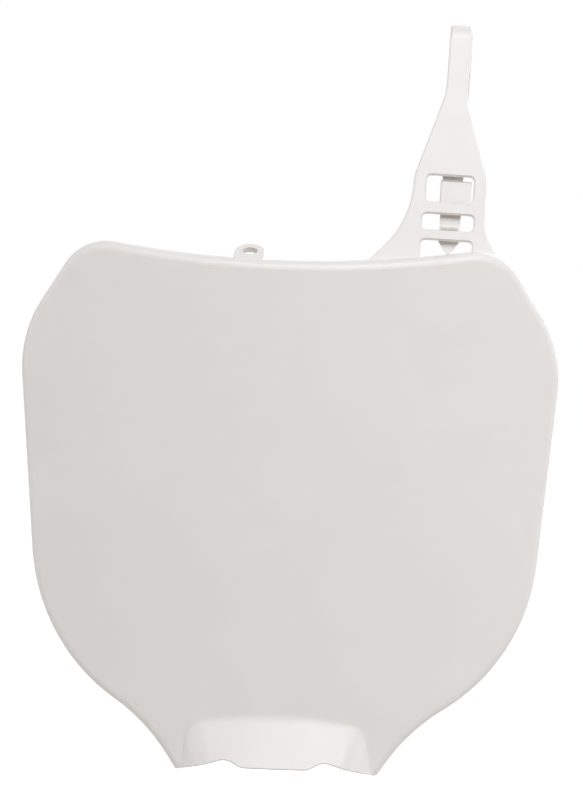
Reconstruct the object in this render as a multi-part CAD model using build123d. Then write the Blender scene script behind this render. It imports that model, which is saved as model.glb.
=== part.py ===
from build123d import *
import math
import os

os.makedirs("parts", exist_ok=True)

# Racing number board with its own crossbar strap, moulded in one piece. Sizes in millimetres.
# +Z is up, the face looks along -Y, and +X is on the right of someone facing the board.
# The board is drawn on its centre plane, with heights above the lower edge of the locating tab and
# depths behind the foremost line of the face. At the end the centre of the lug's bolt hole becomes
# the origin.

# board outline: distances from the centre plane and heights of the corners before they are rounded;
# the shares tell how much of the edge between hip and waist each of their roundings takes
top_middle_height = 225.3
top_dip = 8.1
upper_corner_x = 93.6
shoulder_x = 122.3
shoulder_drop = 44.9
hip_x = 110.4
hip_height = 49.1
waist_x = 58.9
waist_height = 15.9
horn_x = 45.3
horn_height = -4.2
notch_x = 21.6
notch_height = 3.5
tab_half_width = 15.2
upper_corner_radius = 22.0
shoulder_radius = 54.8
hip_share = 0.6813
waist_share = 0.2736
notch_radius = 8.0
horn_left_radius = 0.8
horn_right_radius = 2.6
horn_lead = 6.0

# curved face, wall and rim
face_radius = 350.0
wall = 2.2
rim_radius = 4.0
rim_depth_top = 10.0
rim_depth_low = 3.2

# lip that turns forward between the horns: its side profile starts just behind the face, its front
# is a little rounder than the face, and a much rounder bulge that leans back gives it its flanks
lip_top = 25.0
lip_set_back = 0.06
lip_angle = 29.0
lip_bend_radius = 12.0
lip_round_radius = 180.0
lip_crown = 20.0
lip_flank_lean = 6.0
lip_margin = 3.0
lip_ridge_radius = 12.0
lip_edge = 0.8

# eyelet lug on the back edge of the top rim
lug_x = -18.6
lug_reach = 7.6
lug_radius = 6.9
lug_thickness = 2.5
lug_rise = 26.0
lug_edge = 0.5
bolt_diameter = 6.0
bolt_clearance = 0.6

# ladder strap: local x across, local y up along the strap, front side at local z = 0
strap_x = 68.5
strap_setback = 4.3
strap_sink = 0.7
strap_lean = 15.0
strap_turn = 1.9
strap_thickness = 2.4
strap_root_left = 36.3
strap_root_right = 26.9
strap_bury = 6.0
flare_left_x = 16.9
flare_left_height = 15.5
flare_right_height = 13.4
flare_left_radius = 44.0
flare_right_radius = 20.0
ladder_half_width = 16.4
taper_start = 36.6
taper_end_left = 76.2
taper_end_right = 73.2
taper_start_radius = 20.0
taper_end_radius = 36.0
neck_half_width = 4.6
window_half_width = 11.5
window_top_half_width = 10.5
window_corner = 2.0
window_low_end = -2.5
rung_low_bottom = 7.3
rung_low_height = 4.8
rung_high_bottom = 19.4
rung_high_height = 5.7
window_top_end = 37.2
strap_edge = 0.9
window_edge = 0.7

# fold at the top, and the tail that comes down behind the ladder
fold_start = 101.4
fold_inner_radius = 6.0
tail_close_angle = 10.0
tail_bend_radius = 20.0
tail_gap = 1.2
tail_half_width = 4.65
tail_offset = 0.95
tail_point_start = 7.6
tail_point_end = 2.2
tail_point_half_width = 0.6
cross_bar_half_width = 7.0
cross_bar_offset = 2.6
cross_bar_bottom = 22.6
cross_bar_top = 35.8
cross_bar_clearance = 0.5
tooth_height = 14.2
tooth_radius = 2.2
tooth_rise = 1.0

# how far blanks and cuts run past the part
past = 2.5
blank_depth = 110.0


def mirrored(points):
    return [(-x, z) for x, z in reversed(points)]


def rounded(sketch, points, radius):
    for point in points:
        corner = sketch.vertices().sort_by_distance((point[0], point[1], 0))[0]
        sketch = fillet([corner], radius)
    return sketch


def turn_share(before, corner, after):
    """Length that a rounding of radius 1 takes from each side of a corner of the outline."""
    arriving = Vector(*corner) - Vector(*before)
    leaving = Vector(*after) - Vector(*corner)
    return math.tan(math.radians(arriving.get_angle(leaving) / 2))


# outline on the XZ plane; the sides run on past the horns, and the lower edge is cut afterwards
upper_corner = (upper_corner_x, top_middle_height + top_dip)
shoulder = (shoulder_x, top_middle_height + top_dip - shoulder_drop)
hip = (hip_x, hip_height)
waist = (waist_x, waist_height)
skirt_share = past / (waist_height - horn_height)
skirt = (horn_x - (waist_x - horn_x) * skirt_share, horn_height - past)
hip_radius = hip_share * math.dist(hip, waist) / turn_share(shoulder, hip, waist)
waist_radius = waist_share * math.dist(hip, waist) / turn_share(hip, waist, skirt)
right_side = [upper_corner, shoulder, hip, waist, skirt]
left_side = mirrored(right_side)
top_edge = ThreePointArc(left_side[-1], (0, top_middle_height), right_side[0])
outline = make_face([top_edge, Polyline(*right_side, *left_side)])
outline = rounded(outline, [upper_corner, left_side[4]], upper_corner_radius)
outline = rounded(outline, [shoulder, left_side[3]], shoulder_radius)
outline = rounded(outline, [hip, left_side[2]], hip_radius)
outline = rounded(outline, [waist, left_side[1]], waist_radius)
inner_outline = offset(outline, amount=-wall)

# everything below the lower edge: horns, notches and the locating tab between them; beside each horn
# the cut climbs at a small angle outside the board, so that the rounding of the tip runs into the side
horn_side = Vector(waist_x - horn_x, waist_height - horn_height).normalized()
horn_exit = Vector(horn_x, horn_height) + horn_side.rotate(Axis.Z, -horn_lead) * 2 * past
lower_right = [
    (waist_x + past, horn_exit.Y),
    (horn_exit.X, horn_exit.Y),
    (horn_x, horn_height),
    (notch_x, notch_height),
    (tab_half_width, 0),
]
lower_left = mirrored(lower_right)
floor_height = skirt[1] - past
floor_half_width = waist_x + past
below = Polyline(
    *lower_right, *lower_left, (-floor_half_width, floor_height), (floor_half_width, floor_height), close=True
)
below = make_face(below)
below = rounded(below, lower_right[3:] + lower_left[:2], notch_radius)
below = rounded(below, [lower_left[2]], horn_left_radius)
below = rounded(below, [lower_right[2]], horn_right_radius)

# heights and depths on the outline's top edge and on the face
top_radius = (upper_corner_x**2 + top_dip**2) / (2 * top_dip)


def face_depth(x):
    return face_radius - math.sqrt(face_radius**2 - x**2)


def rim_height(x):
    return top_middle_height + top_radius - math.sqrt(top_radius**2 - x**2)


def through(sketch):
    """Prism of an outline that runs through the whole depth of the part."""
    return extrude(Plane.XZ * sketch, amount=blank_depth, both=True)


# lip as a side profile on the YZ plane: upright, bent, then straight down and forward; it is turned
# about an upright axis, and its bulge meets the face just inside the horns
lip_axis = Axis((0, lip_round_radius, 0), (0, 0, 1))
lip_half_turn = math.degrees(math.asin((horn_x + lip_crown) / lip_round_radius))
bulge_half_width = horn_x - lip_margin
bulge_rise = lip_crown + face_depth(bulge_half_width)
bulge_radius = (bulge_half_width**2 + bulge_rise**2) / (2 * bulge_rise)
bulge_height = 4 * lip_top
bulge_flare = bulge_height / 2 * math.tan(math.radians(lip_flank_lean))
lip_heading = Vector(-math.sin(math.radians(lip_angle)), -math.cos(math.radians(lip_angle)))
lip_start = Vector(lip_set_back, 2 * lip_top)
lip_entry = Line(lip_start, (lip_set_back, lip_top))
lip_bend = JernArc((lip_set_back, lip_top), (0, -1), lip_bend_radius, -lip_angle)
lip_ramp = Line(lip_bend @ 1, lip_bend @ 1 + lip_heading * 2 * lip_top)
lip_rear = Polyline(lip_ramp @ 1, (blank_depth, (lip_ramp @ 1).Y), (blank_depth, lip_start.Y), lip_start)
lip_profile = make_face([lip_entry, lip_bend, lip_ramp, lip_rear])


def filled(profile, inset):
    """Everything behind the front surface within a profile, with the surface set back by inset."""
    drum = Cylinder(face_radius - inset, 2 * top_middle_height)
    drum = Pos(0, face_radius, top_middle_height / 2) * drum
    slab = drum & through(profile)
    # the rim is rounded on the outside only
    if not inset:
        face = slab.faces().filter_by(GeomType.CYLINDER).sort_by(Axis.Y)[0]
        slab = fillet(face.edges().sort_by(Axis.Z)[1:], rim_radius)
    section = offset(lip_profile, amount=-inset) if inset else lip_profile
    lip = revolve(Plane.YZ * section, axis=lip_axis, revolution_arc=2 * lip_half_turn)
    lip = lip.rotate(lip_axis, -lip_half_turn)
    girth = bulge_radius - inset
    bulge = Pos(0, bulge_radius - lip_crown, 0) * Cone(girth + bulge_flare, girth - bulge_flare, bulge_height)
    lip = lip & bulge
    lip = fillet(lip.edges().filter_by(GeomType.BSPLINE), lip_ridge_radius - inset)
    return slab + (lip & through(profile))


# the rim's back edge follows the face, deepest at the top and shallow at the horns
rim_lean = math.degrees(math.atan2(rim_depth_top - rim_depth_low, top_middle_height))
back_drum = Pos(0, rim_depth_low, 0) * Rot(-rim_lean, 0, 0) * Pos(0, face_radius, 0)
back_drum = back_drum * Cylinder(face_radius, 4 * top_middle_height)


def flat_faces(body):
    """The back and the front of a flat piece in its own local frame."""
    by_height = body.faces().sort_by(Axis.Z)
    return [by_height[0], by_height[-1]]


def between(edges, low, high):
    return edges.filter_by(lambda edge: low < edge.center().Y < high)


# lug: a tongue that springs from the back edge of the top rim and rises to its bolt hole
lug_up = math.sin(math.radians(lug_rise))
lug_back = math.cos(math.radians(lug_rise))
lug_depth = face_depth(lug_x) + rim_depth_top - wall + lug_reach * lug_back
lug_height = rim_height(lug_x) - wall / 2 + lug_reach * lug_up
lug_plane = Plane((lug_x, lug_depth, lug_height), x_dir=(1, 0, 0), z_dir=(0, -lug_up, lug_back))
lug_root = lug_reach + wall
tongue = Pos(0, -lug_root / 2) * Rectangle(2 * lug_radius, lug_root) + Circle(lug_radius)
lug = extrude(tongue, amount=lug_thickness / 2, both=True)
lug_edges = ShapeList(edge for flat in flat_faces(lug) for edge in flat.edges())
lug = chamfer(between(lug_edges, lug_edge - lug_root, lug_radius), lug_edge)
lug = lug_plane.location * lug
bolt_hole = lug_plane * Cylinder((bolt_diameter + bolt_clearance) / 2, 3 * lug_thickness)

# strap, drawn flat in its own plane
strap_normal = (0, -math.cos(math.radians(strap_lean)), math.sin(math.radians(strap_lean)))
strap_depth = face_depth(strap_x) + rim_depth_top + strap_setback
strap_height = rim_height(strap_x) - strap_sink
strap_plane = Plane((strap_x, strap_depth, strap_height), x_dir=(1, 0, 0), z_dir=strap_normal)
strap_place = strap_plane.location * Rot(0, 0, -strap_turn)
flare_left = (-flare_left_x, flare_left_height)
flare_right = (ladder_half_width, flare_right_height)
tail_right = tail_offset + tail_half_width
pattern = make_face(
    Polyline(
        (-strap_root_left, -strap_bury),
        flare_left,
        (-ladder_half_width, taper_start),
        (-neck_half_width, taper_end_left),
        (-neck_half_width, fold_start),
        (tail_right, fold_start),
        (neck_half_width, taper_end_right),
        (ladder_half_width, taper_start),
        flare_right,
        (strap_root_right, -strap_bury),
        close=True,
    )
)
pattern = rounded(pattern, [flare_left], flare_left_radius)
pattern = rounded(pattern, [flare_right], flare_right_radius)
for side, taper_end in ((-1, taper_end_left), (1, taper_end_right)):
    pattern = rounded(pattern, [(side * ladder_half_width, taper_start)], taper_start_radius)
    pattern = rounded(pattern, [(side * neck_half_width, taper_end)], taper_end_radius)


def window(half_width, low, high):
    middle = Pos(0, (low + high) / 2)
    return middle * RectangleRounded(2 * half_width, high - low, window_corner)


pattern = pattern - window(window_half_width, window_low_end, rung_low_bottom)
pattern = pattern - window(window_half_width, rung_low_bottom + rung_low_height, rung_high_bottom)
pattern = pattern - window(window_top_half_width, rung_high_bottom + rung_high_height, window_top_end)
front_run = extrude(pattern, amount=-strap_thickness)
front_edges = flat_faces(front_run)[1].outer_wire().edges()
front_run = fillet(between(front_edges, strap_edge - strap_bury, fold_start - strap_edge), strap_edge)
window_edges = [wire.edges() for flat in flat_faces(front_run) for wire in flat.inner_wires()]
front_run = chamfer(ShapeList(edge for edges in window_edges for edge in edges), window_edge)


def strap_section(width):
    """Section across the strap, with the corners of its outer side, the lower one here, broken."""
    section = Rectangle(width, strap_thickness)
    return chamfer(section.vertices().sort_by(Axis.Y)[:2], strap_edge)


# fold: the strap's section turned over a crosswise axis, wide enough for both runs
fold_width = neck_half_width + tail_right
fold_plane = Plane((0, fold_start, 0), x_dir=(1, 0, 0), z_dir=(0, 1, 0))
fold_middle = Pos(tail_right - fold_width / 2, strap_thickness / 2)
fold_section = fold_plane * fold_middle * strap_section(fold_width)
fold_depth = -strap_thickness - fold_inner_radius
fold_axis = Axis((0, fold_start, fold_depth), (-1, 0, 0))
fold = revolve(fold_section, axis=fold_axis, revolution_arc=180 + tail_close_angle)

# tail: closes on the ladder, bends parallel to it and runs down behind the rungs to a point
close_sin = math.sin(math.radians(tail_close_angle))
close_cos = math.cos(math.radians(tail_close_angle))
fold_radius = fold_inner_radius + strap_thickness / 2
tail_depth = -1.5 * strap_thickness - tail_gap
tail_top = (fold_start - fold_radius * close_sin, fold_depth - fold_radius * close_cos)
closing = tail_depth - tail_top[1] - tail_bend_radius * (1 - close_cos)
bend_top = (tail_top[0] - closing * close_cos / close_sin, tail_top[1] + closing)
close_line = Line(tail_top, bend_top)
bend = JernArc(bend_top, (-close_cos, close_sin), tail_bend_radius, tail_close_angle)
tail_line = Line(bend @ 1, (tail_point_end, tail_depth))
tail_path = Plane.YZ * Wire([close_line, bend, tail_line])
tail_start = Plane(tail_path @ 0, x_dir=(1, 0, 0), z_dir=tail_path % 0)
tail = sweep(tail_start * Pos(tail_offset, 0) * strap_section(2 * tail_half_width), path=tail_path)
point = make_face(
    Polyline(
        (-tail_half_width, tail_point_start),
        (-tail_point_half_width, tail_point_end),
        (tail_point_half_width, tail_point_end),
        (tail_half_width, tail_point_start),
        (tail_half_width, fold_start + fold_radius),
        (-tail_half_width, fold_start + fold_radius),
        close=True,
    )
)
tail = tail & extrude(Pos(tail_offset, 0) * point, amount=4 * fold_depth)
bar_back = tail_depth - strap_thickness / 2
bar_front = -strap_thickness - cross_bar_clearance
bar_sketch = Rectangle(2 * cross_bar_half_width, cross_bar_top - cross_bar_bottom)
bar_middle = Pos(cross_bar_offset, (cross_bar_top + cross_bar_bottom) / 2, bar_back)
cross_bar = extrude(bar_middle * bar_sketch, amount=bar_front - bar_back)
cross_bar = chamfer(flat_faces(cross_bar)[1].edges(), window_edge)
tooth = Rot(0, 90, 0) * Cylinder(tooth_radius, 2 * (tail_half_width - strap_edge))
tooth_depth = tail_depth + strap_thickness / 2 + tooth_rise - tooth_radius
tooth = Pos(tail_offset, tooth_height, tooth_depth) * tooth
tooth_room = Pos(tail_offset, tooth_height, tail_depth + tooth_radius)
tooth = tooth & tooth_room * Box(2 * tail_half_width, 3 * tooth_radius, 2 * tooth_radius)
loop = strap_place * (fold + tail + cross_bar + tooth)

# shelf that carries the rim back to the foot of the strap, with slanting ends
solid_board = filled(outline, 0)
shelf_left = strap_x - strap_root_left
shelf_right = strap_x + strap_root_right
shelf_back = strap_depth + strap_thickness
shelf_plan = Polyline(
    (shelf_left - shelf_back, 0),
    (shelf_left, shelf_back),
    (shelf_right, shelf_back),
    (shelf_right + shelf_back, 0),
    close=True,
)
shelf_room = extrude(make_face(shelf_plan), amount=shoulder_radius, both=True)
shelf_room = Pos(0, 0, top_middle_height) * shelf_room

board = solid_board - back_drum + (solid_board & shelf_room) - through(below)
low_edges = board.edges().filter_by(lambda edge: edge.center().Z < notch_height)
lip_edges = low_edges.filter_by(GeomType.LINE, reverse=True).filter_by(lambda edge: edge.center().Y < 0)
board = chamfer(lip_edges, lip_edge)
board = board + lug + strap_place * front_run
board = board - filled(inner_outline, wall) - bolt_hole + loop
board = Pos(-lug_x, -lug_depth, -lug_height) * board
export_step(board, "parts/number_board.step")
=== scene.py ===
"""Finish, light and camera of a white moulded racing number board with its own crossbar strap."""
import math
import bpy
from mathutils import Matrix, Vector


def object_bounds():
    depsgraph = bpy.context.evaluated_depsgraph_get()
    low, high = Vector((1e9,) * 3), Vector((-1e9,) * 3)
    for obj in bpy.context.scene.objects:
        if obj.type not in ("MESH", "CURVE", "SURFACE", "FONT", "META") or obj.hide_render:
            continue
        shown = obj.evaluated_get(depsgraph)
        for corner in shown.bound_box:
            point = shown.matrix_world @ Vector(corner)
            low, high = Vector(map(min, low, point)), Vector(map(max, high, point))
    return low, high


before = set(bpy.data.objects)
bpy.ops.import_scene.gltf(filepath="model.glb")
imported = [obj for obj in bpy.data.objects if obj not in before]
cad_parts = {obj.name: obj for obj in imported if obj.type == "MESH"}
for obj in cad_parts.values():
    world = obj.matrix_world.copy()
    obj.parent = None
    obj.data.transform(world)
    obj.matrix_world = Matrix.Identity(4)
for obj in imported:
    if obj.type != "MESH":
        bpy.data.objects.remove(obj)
cad_low, cad_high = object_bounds()

# camera, in degrees and metres: where it looks and from where
look_at = Vector((0.02095, -0.0101, -0.06436))
camera_azimuth = 2.89
camera_elevation = 4.21
camera_roll = 1.67
camera_distance = 1.5008
lens_mm = 151.9
clip_near = 0.05
clip_far = 50

# floor: the board hangs this far above it
floor_drop = 0.16
floor_size = 8.0
floor_pale = (0.80, 0.78, 0.75, 1)

# the floor's glow grows from its middle outwards, so that it fades into the white air
glow_start = 0.3
glow_end = 0.75
glow_middle = 0.3
glow_outside = 0.95

# light: cool lamps, a nearly neutral one behind, and a little warm light all round
cool_light = (0.89, 0.945, 1.0)
back_light = (0.95, 0.975, 1.0)
air_colour = (1.0, 0.88, 0.77, 1)
air_strength = 0.15
full_white = (1, 1, 1, 1)

# white plastic: the plain colour and a faintly darker, yellower one for its clouds
plain_white = (0.797, 0.752, 0.721, 1)
cloud_white = (0.782, 0.734, 0.699, 1)
plastic_ior = 1.49
cloud_scale = 22.0

# its gloss: satin that varies with faint smudges, and a back that is duller by a little
satin_least = 0.35
satin_most = 0.42
smudge_scale = 75.0
back_dullness = 0.16

# a surface counts as back by how far its normal turns to the rear
back_start = 0.25
back_full = 0.6

# its relief: fine grain all over and coarser grain on the back
grain_scale = 2600.0
grain_share = 0.12
coarse_scale = 900.0
coarse_share = 0.25
relief_strength = 0.6
relief_depth = 0.0001

# the creases round the lip look softly rounded: how far, and where their zone lies and fades out
crease_softness = 0.0045
crease_samples = 8
lip_middle = 0.0186
lip_half_width = 0.050
lip_low = -0.216
lip_high = -0.200
lip_fade = 0.006

# what both surface patterns take in
pattern_inputs = [("Vector", "NodeSocketVector"), ("Scale", "NodeSocketFloat")]


def aim(azimuth, elevation):
    """Unit vector from the subject towards a camera or lamp."""
    a = math.radians(azimuth)
    e = math.radians(elevation)
    return Vector((math.sin(a) * math.cos(e), -math.cos(a) * math.cos(e), math.sin(e)))


def node(tree, kind, **values):
    """A new node, with values for its sockets by their names."""
    made = tree.nodes.new(kind)
    for name, value in values.items():
        made.inputs[name.replace("_", " ")].default_value = value
    return made


def calculation(tree, operation, *values):
    """A Math node; its values are sockets or plain numbers."""
    made = tree.nodes.new("ShaderNodeMath")
    made.operation = operation
    for socket, value in zip(made.inputs, values):
        if isinstance(value, (int, float)):
            socket.default_value = value
        else:
            tree.links.new(value, socket)
    return made.outputs["Value"]


def mapped(tree, value, start, end, low=0.0, high=1.0):
    """The value's run from start to end becomes one from low to high, and stays there beyond it."""
    made = node(tree, "ShaderNodeMapRange", From_Min=start, From_Max=end, To_Min=low, To_Max=high)
    tree.links.new(value, made.inputs["Value"])
    return made.outputs["Result"]


def group(name, inputs, outputs):
    """An empty shader group with named sockets, and its inner input and output nodes."""
    tree = bpy.data.node_groups.new(name, "ShaderNodeTree")
    for socket, kind in inputs:
        tree.interface.new_socket(socket, in_out="INPUT", socket_type=kind)
    for socket, kind in outputs:
        tree.interface.new_socket(socket, in_out="OUTPUT", socket_type=kind)
    return tree, tree.nodes.new("NodeGroupInput"), tree.nodes.new("NodeGroupOutput")


def placed(tree, shared, here, scale):
    """One use of a shared pattern in a material, on its Object coordinates and at its own scale."""
    made = tree.nodes.new("ShaderNodeGroup")
    made.node_tree = shared
    made.inputs["Scale"].default_value = scale
    tree.links.new(here.outputs["Object"], made.inputs["Vector"])
    return made


def clouds_group():
    """Soft clouds from the flow of the melt: Mask runs from 0 to 1."""
    tree, given, result = group("flow_clouds", pattern_inputs, [("Mask", "NodeSocketFloat")])
    noise = node(tree, "ShaderNodeTexNoise", Detail=3.0, Roughness=0.45, Distortion=0.6)
    tree.links.new(given.outputs["Vector"], noise.inputs["Vector"])
    tree.links.new(given.outputs["Scale"], noise.inputs["Scale"])
    mask = mapped(tree, noise.outputs["Fac"], start=0.32, end=0.68)
    tree.links.new(mask, result.inputs["Mask"])
    return tree


def grain_group():
    """Fine even grain of a spark-eroded mould: Height runs from 0 to 1."""
    tree, given, result = group("mould_grain", pattern_inputs, [("Height", "NodeSocketFloat")])
    noise = node(tree, "ShaderNodeTexNoise", Detail=2.0, Roughness=0.55)
    tree.links.new(given.outputs["Vector"], noise.inputs["Vector"])
    tree.links.new(given.outputs["Scale"], noise.inputs["Scale"])
    tree.links.new(noise.outputs["Fac"], result.inputs["Height"])
    return tree


def lip_zone(tree, here):
    """Radius over which edges are softened: that of the creases round the lip, and none elsewhere."""
    place = tree.nodes.new("ShaderNodeSeparateXYZ")
    tree.links.new(here.outputs["Object"], place.inputs["Vector"])
    height = place.outputs["Z"]
    aside = calculation(tree, "SUBTRACT", place.outputs["X"], lip_middle)
    aside = calculation(tree, "ABSOLUTE", aside)
    within = mapped(tree, aside, lip_half_width, lip_half_width + lip_fade, low=1.0, high=0.0)
    above = mapped(tree, height, lip_low - lip_fade, lip_low)
    below = mapped(tree, height, lip_high, lip_high + lip_fade, low=1.0, high=0.0)
    zone = calculation(tree, "MULTIPLY", within, above)
    zone = calculation(tree, "MULTIPLY", zone, below)
    return calculation(tree, "MULTIPLY", zone, crease_softness)


def white_plastic():
    """Satin white plastic from the mould: faint clouds, fine grain and a duller back."""
    material = bpy.data.materials.new("white_plastic")
    material.use_nodes = True
    tree = material.node_tree
    shader = tree.nodes["Principled BSDF"]
    shader.inputs["IOR"].default_value = plastic_ior
    here = tree.nodes.new("ShaderNodeTexCoord")

    # front and back by the way the surface looks
    facing = tree.nodes.new("ShaderNodeSeparateXYZ")
    tree.links.new(here.outputs["Normal"], facing.inputs["Vector"])
    back = mapped(tree, facing.outputs["Y"], back_start, back_full)

    clouds = placed(tree, clouds_group(), here, cloud_scale)
    smudges = placed(tree, clouds.node_tree, here, smudge_scale)
    grain = placed(tree, grain_group(), here, grain_scale)
    coarse = placed(tree, grain.node_tree, here, coarse_scale)

    # colour: plain white with faint clouds
    colour = tree.nodes.new("ShaderNodeValToRGB")
    colour.color_ramp.elements[0].color = plain_white
    colour.color_ramp.elements[1].color = cloud_white
    tree.links.new(clouds.outputs["Mask"], colour.inputs["Fac"])
    tree.links.new(colour.outputs["Color"], shader.inputs["Base Color"])

    # roughness: satin front with faint smudges, duller back
    satin = mapped(tree, smudges.outputs["Mask"], 0.0, 1.0, satin_least, satin_most)
    duller = calculation(tree, "MULTIPLY", back, back_dullness)
    rough = calculation(tree, "ADD", satin, duller)
    tree.links.new(rough, shader.inputs["Roughness"])

    # relief: grain all over, coarser on the back, and softly rounded creases at the lip
    fine = calculation(tree, "MULTIPLY", grain.outputs["Height"], grain_share)
    rougher = calculation(tree, "MULTIPLY", coarse.outputs["Height"], back)
    rougher = calculation(tree, "MULTIPLY", rougher, coarse_share)
    relief = calculation(tree, "ADD", fine, rougher)
    soft = tree.nodes.new("ShaderNodeBevel")
    soft.samples = crease_samples
    tree.links.new(lip_zone(tree, here), soft.inputs["Radius"])
    bump = node(tree, "ShaderNodeBump", Strength=relief_strength, Distance=relief_depth)
    tree.links.new(relief, bump.inputs["Height"])
    tree.links.new(soft.outputs["Normal"], bump.inputs["Normal"])
    tree.links.new(bump.outputs["Normal"], shader.inputs["Normal"])
    return material


def seen_rays(tree):
    """1 for rays that show a surface to the camera, straight or by way of gloss or glass."""
    rays = tree.nodes.new("ShaderNodeLightPath")
    seen = calculation(tree, "MAXIMUM", rays.outputs["Is Camera Ray"], rays.outputs["Is Glossy Ray"])
    return calculation(tree, "MAXIMUM", seen, rays.outputs["Is Transmission Ray"])


def floor_white():
    """Pale floor that looks white, keeps the board's soft shadow and fades into the air far away."""
    material = bpy.data.materials.new("studio_white")
    material.use_nodes = True
    tree = material.node_tree
    tree.nodes.remove(tree.nodes["Principled BSDF"])
    pale = node(tree, "ShaderNodeBsdfDiffuse", Color=floor_pale)
    glow = node(tree, "ShaderNodeEmission", Color=full_white)
    here = tree.nodes.new("ShaderNodeTexCoord")
    away = tree.nodes.new("ShaderNodeVectorMath")
    away.operation = "LENGTH"
    tree.links.new(here.outputs["Object"], away.inputs[0])
    farther = mapped(tree, away.outputs["Value"], glow_start, glow_end, glow_middle, glow_outside)
    lift = calculation(tree, "MULTIPLY", seen_rays(tree), farther)
    tree.links.new(lift, glow.inputs["Strength"])
    both = tree.nodes.new("ShaderNodeAddShader")
    tree.links.new(pale.outputs["BSDF"], both.inputs[0])
    tree.links.new(glow.outputs["Emission"], both.inputs[1])
    tree.links.new(both.outputs["Shader"], tree.nodes["Material Output"].inputs["Surface"])
    return material


def studio():
    """The pale floor under the board."""
    bpy.ops.object.select_all(action="DESELECT")
    floor_height = cad_low.z - floor_drop
    bpy.ops.mesh.primitive_plane_add(size=floor_size, location=(0, 0, floor_height))
    floor = bpy.context.object
    floor.name = "studio_floor"
    floor.data.materials.append(floor_white())


def softbox(name, azimuth, elevation, distance, size, power, colour):
    """A square lamp that faces the board, placed in degrees and metres, with its power in watts."""
    lamp = bpy.data.lights.new(name, "AREA")
    lamp.shape = "SQUARE"
    lamp.size = size
    lamp.energy = power
    lamp.color = colour
    holder = bpy.data.objects.new(name, lamp)
    toward = aim(azimuth, elevation)
    holder.location = look_at + toward * distance
    holder.rotation_mode = "QUATERNION"
    holder.rotation_quaternion = toward.to_track_quat("Z", "Y")
    bpy.context.scene.collection.objects.link(holder)


def light():
    """Softboxes above the front, at both sides and behind, and air that is warm but looks white."""
    softbox("front_softbox", azimuth=12, elevation=50, distance=1.6, size=1.2, power=24.4, colour=cool_light)
    softbox("right_softbox", azimuth=90, elevation=10, distance=1.4, size=1.0, power=5.4, colour=cool_light)
    softbox("left_softbox", azimuth=-90, elevation=10, distance=1.4, size=1.0, power=4.6, colour=cool_light)
    softbox("back_softbox", azimuth=150, elevation=22, distance=1.6, size=1.2, power=15.0, colour=back_light)
    world = bpy.data.worlds.new("studio_air")
    bpy.context.scene.world = world
    world.use_nodes = True
    tree = world.node_tree
    around = tree.nodes["Background"]
    around.inputs["Color"].default_value = air_colour
    around.inputs["Strength"].default_value = air_strength
    white = node(tree, "ShaderNodeBackground", Color=full_white, Strength=1.0)
    mix = tree.nodes.new("ShaderNodeMixShader")
    tree.links.new(seen_rays(tree), mix.inputs["Fac"])
    tree.links.new(around.outputs["Background"], mix.inputs[1])
    tree.links.new(white.outputs["Background"], mix.inputs[2])
    tree.links.new(mix.outputs["Shader"], tree.nodes["World Output"].inputs["Surface"])


def camera():
    """The camera at the photograph's angle, rolled a little."""
    data = bpy.data.cameras.new("camera")
    data.lens = lens_mm
    data.clip_start = clip_near
    data.clip_end = clip_far
    holder = bpy.data.objects.new("camera", data)
    toward = aim(camera_azimuth, camera_elevation)
    roll = Matrix.Rotation(math.radians(camera_roll), 3, "Z")
    turn = toward.to_track_quat("Z", "Y").to_matrix() @ roll
    holder.matrix_world = Matrix.Translation(look_at + toward * camera_distance) @ turn.to_4x4()
    bpy.context.scene.collection.objects.link(holder)
    bpy.context.scene.camera = holder


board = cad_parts["number_board"]
board.data.materials.clear()
board.data.materials.append(white_plastic())
studio()
light()
camera()
bpy.context.scene.view_settings.view_transform = "Standard"
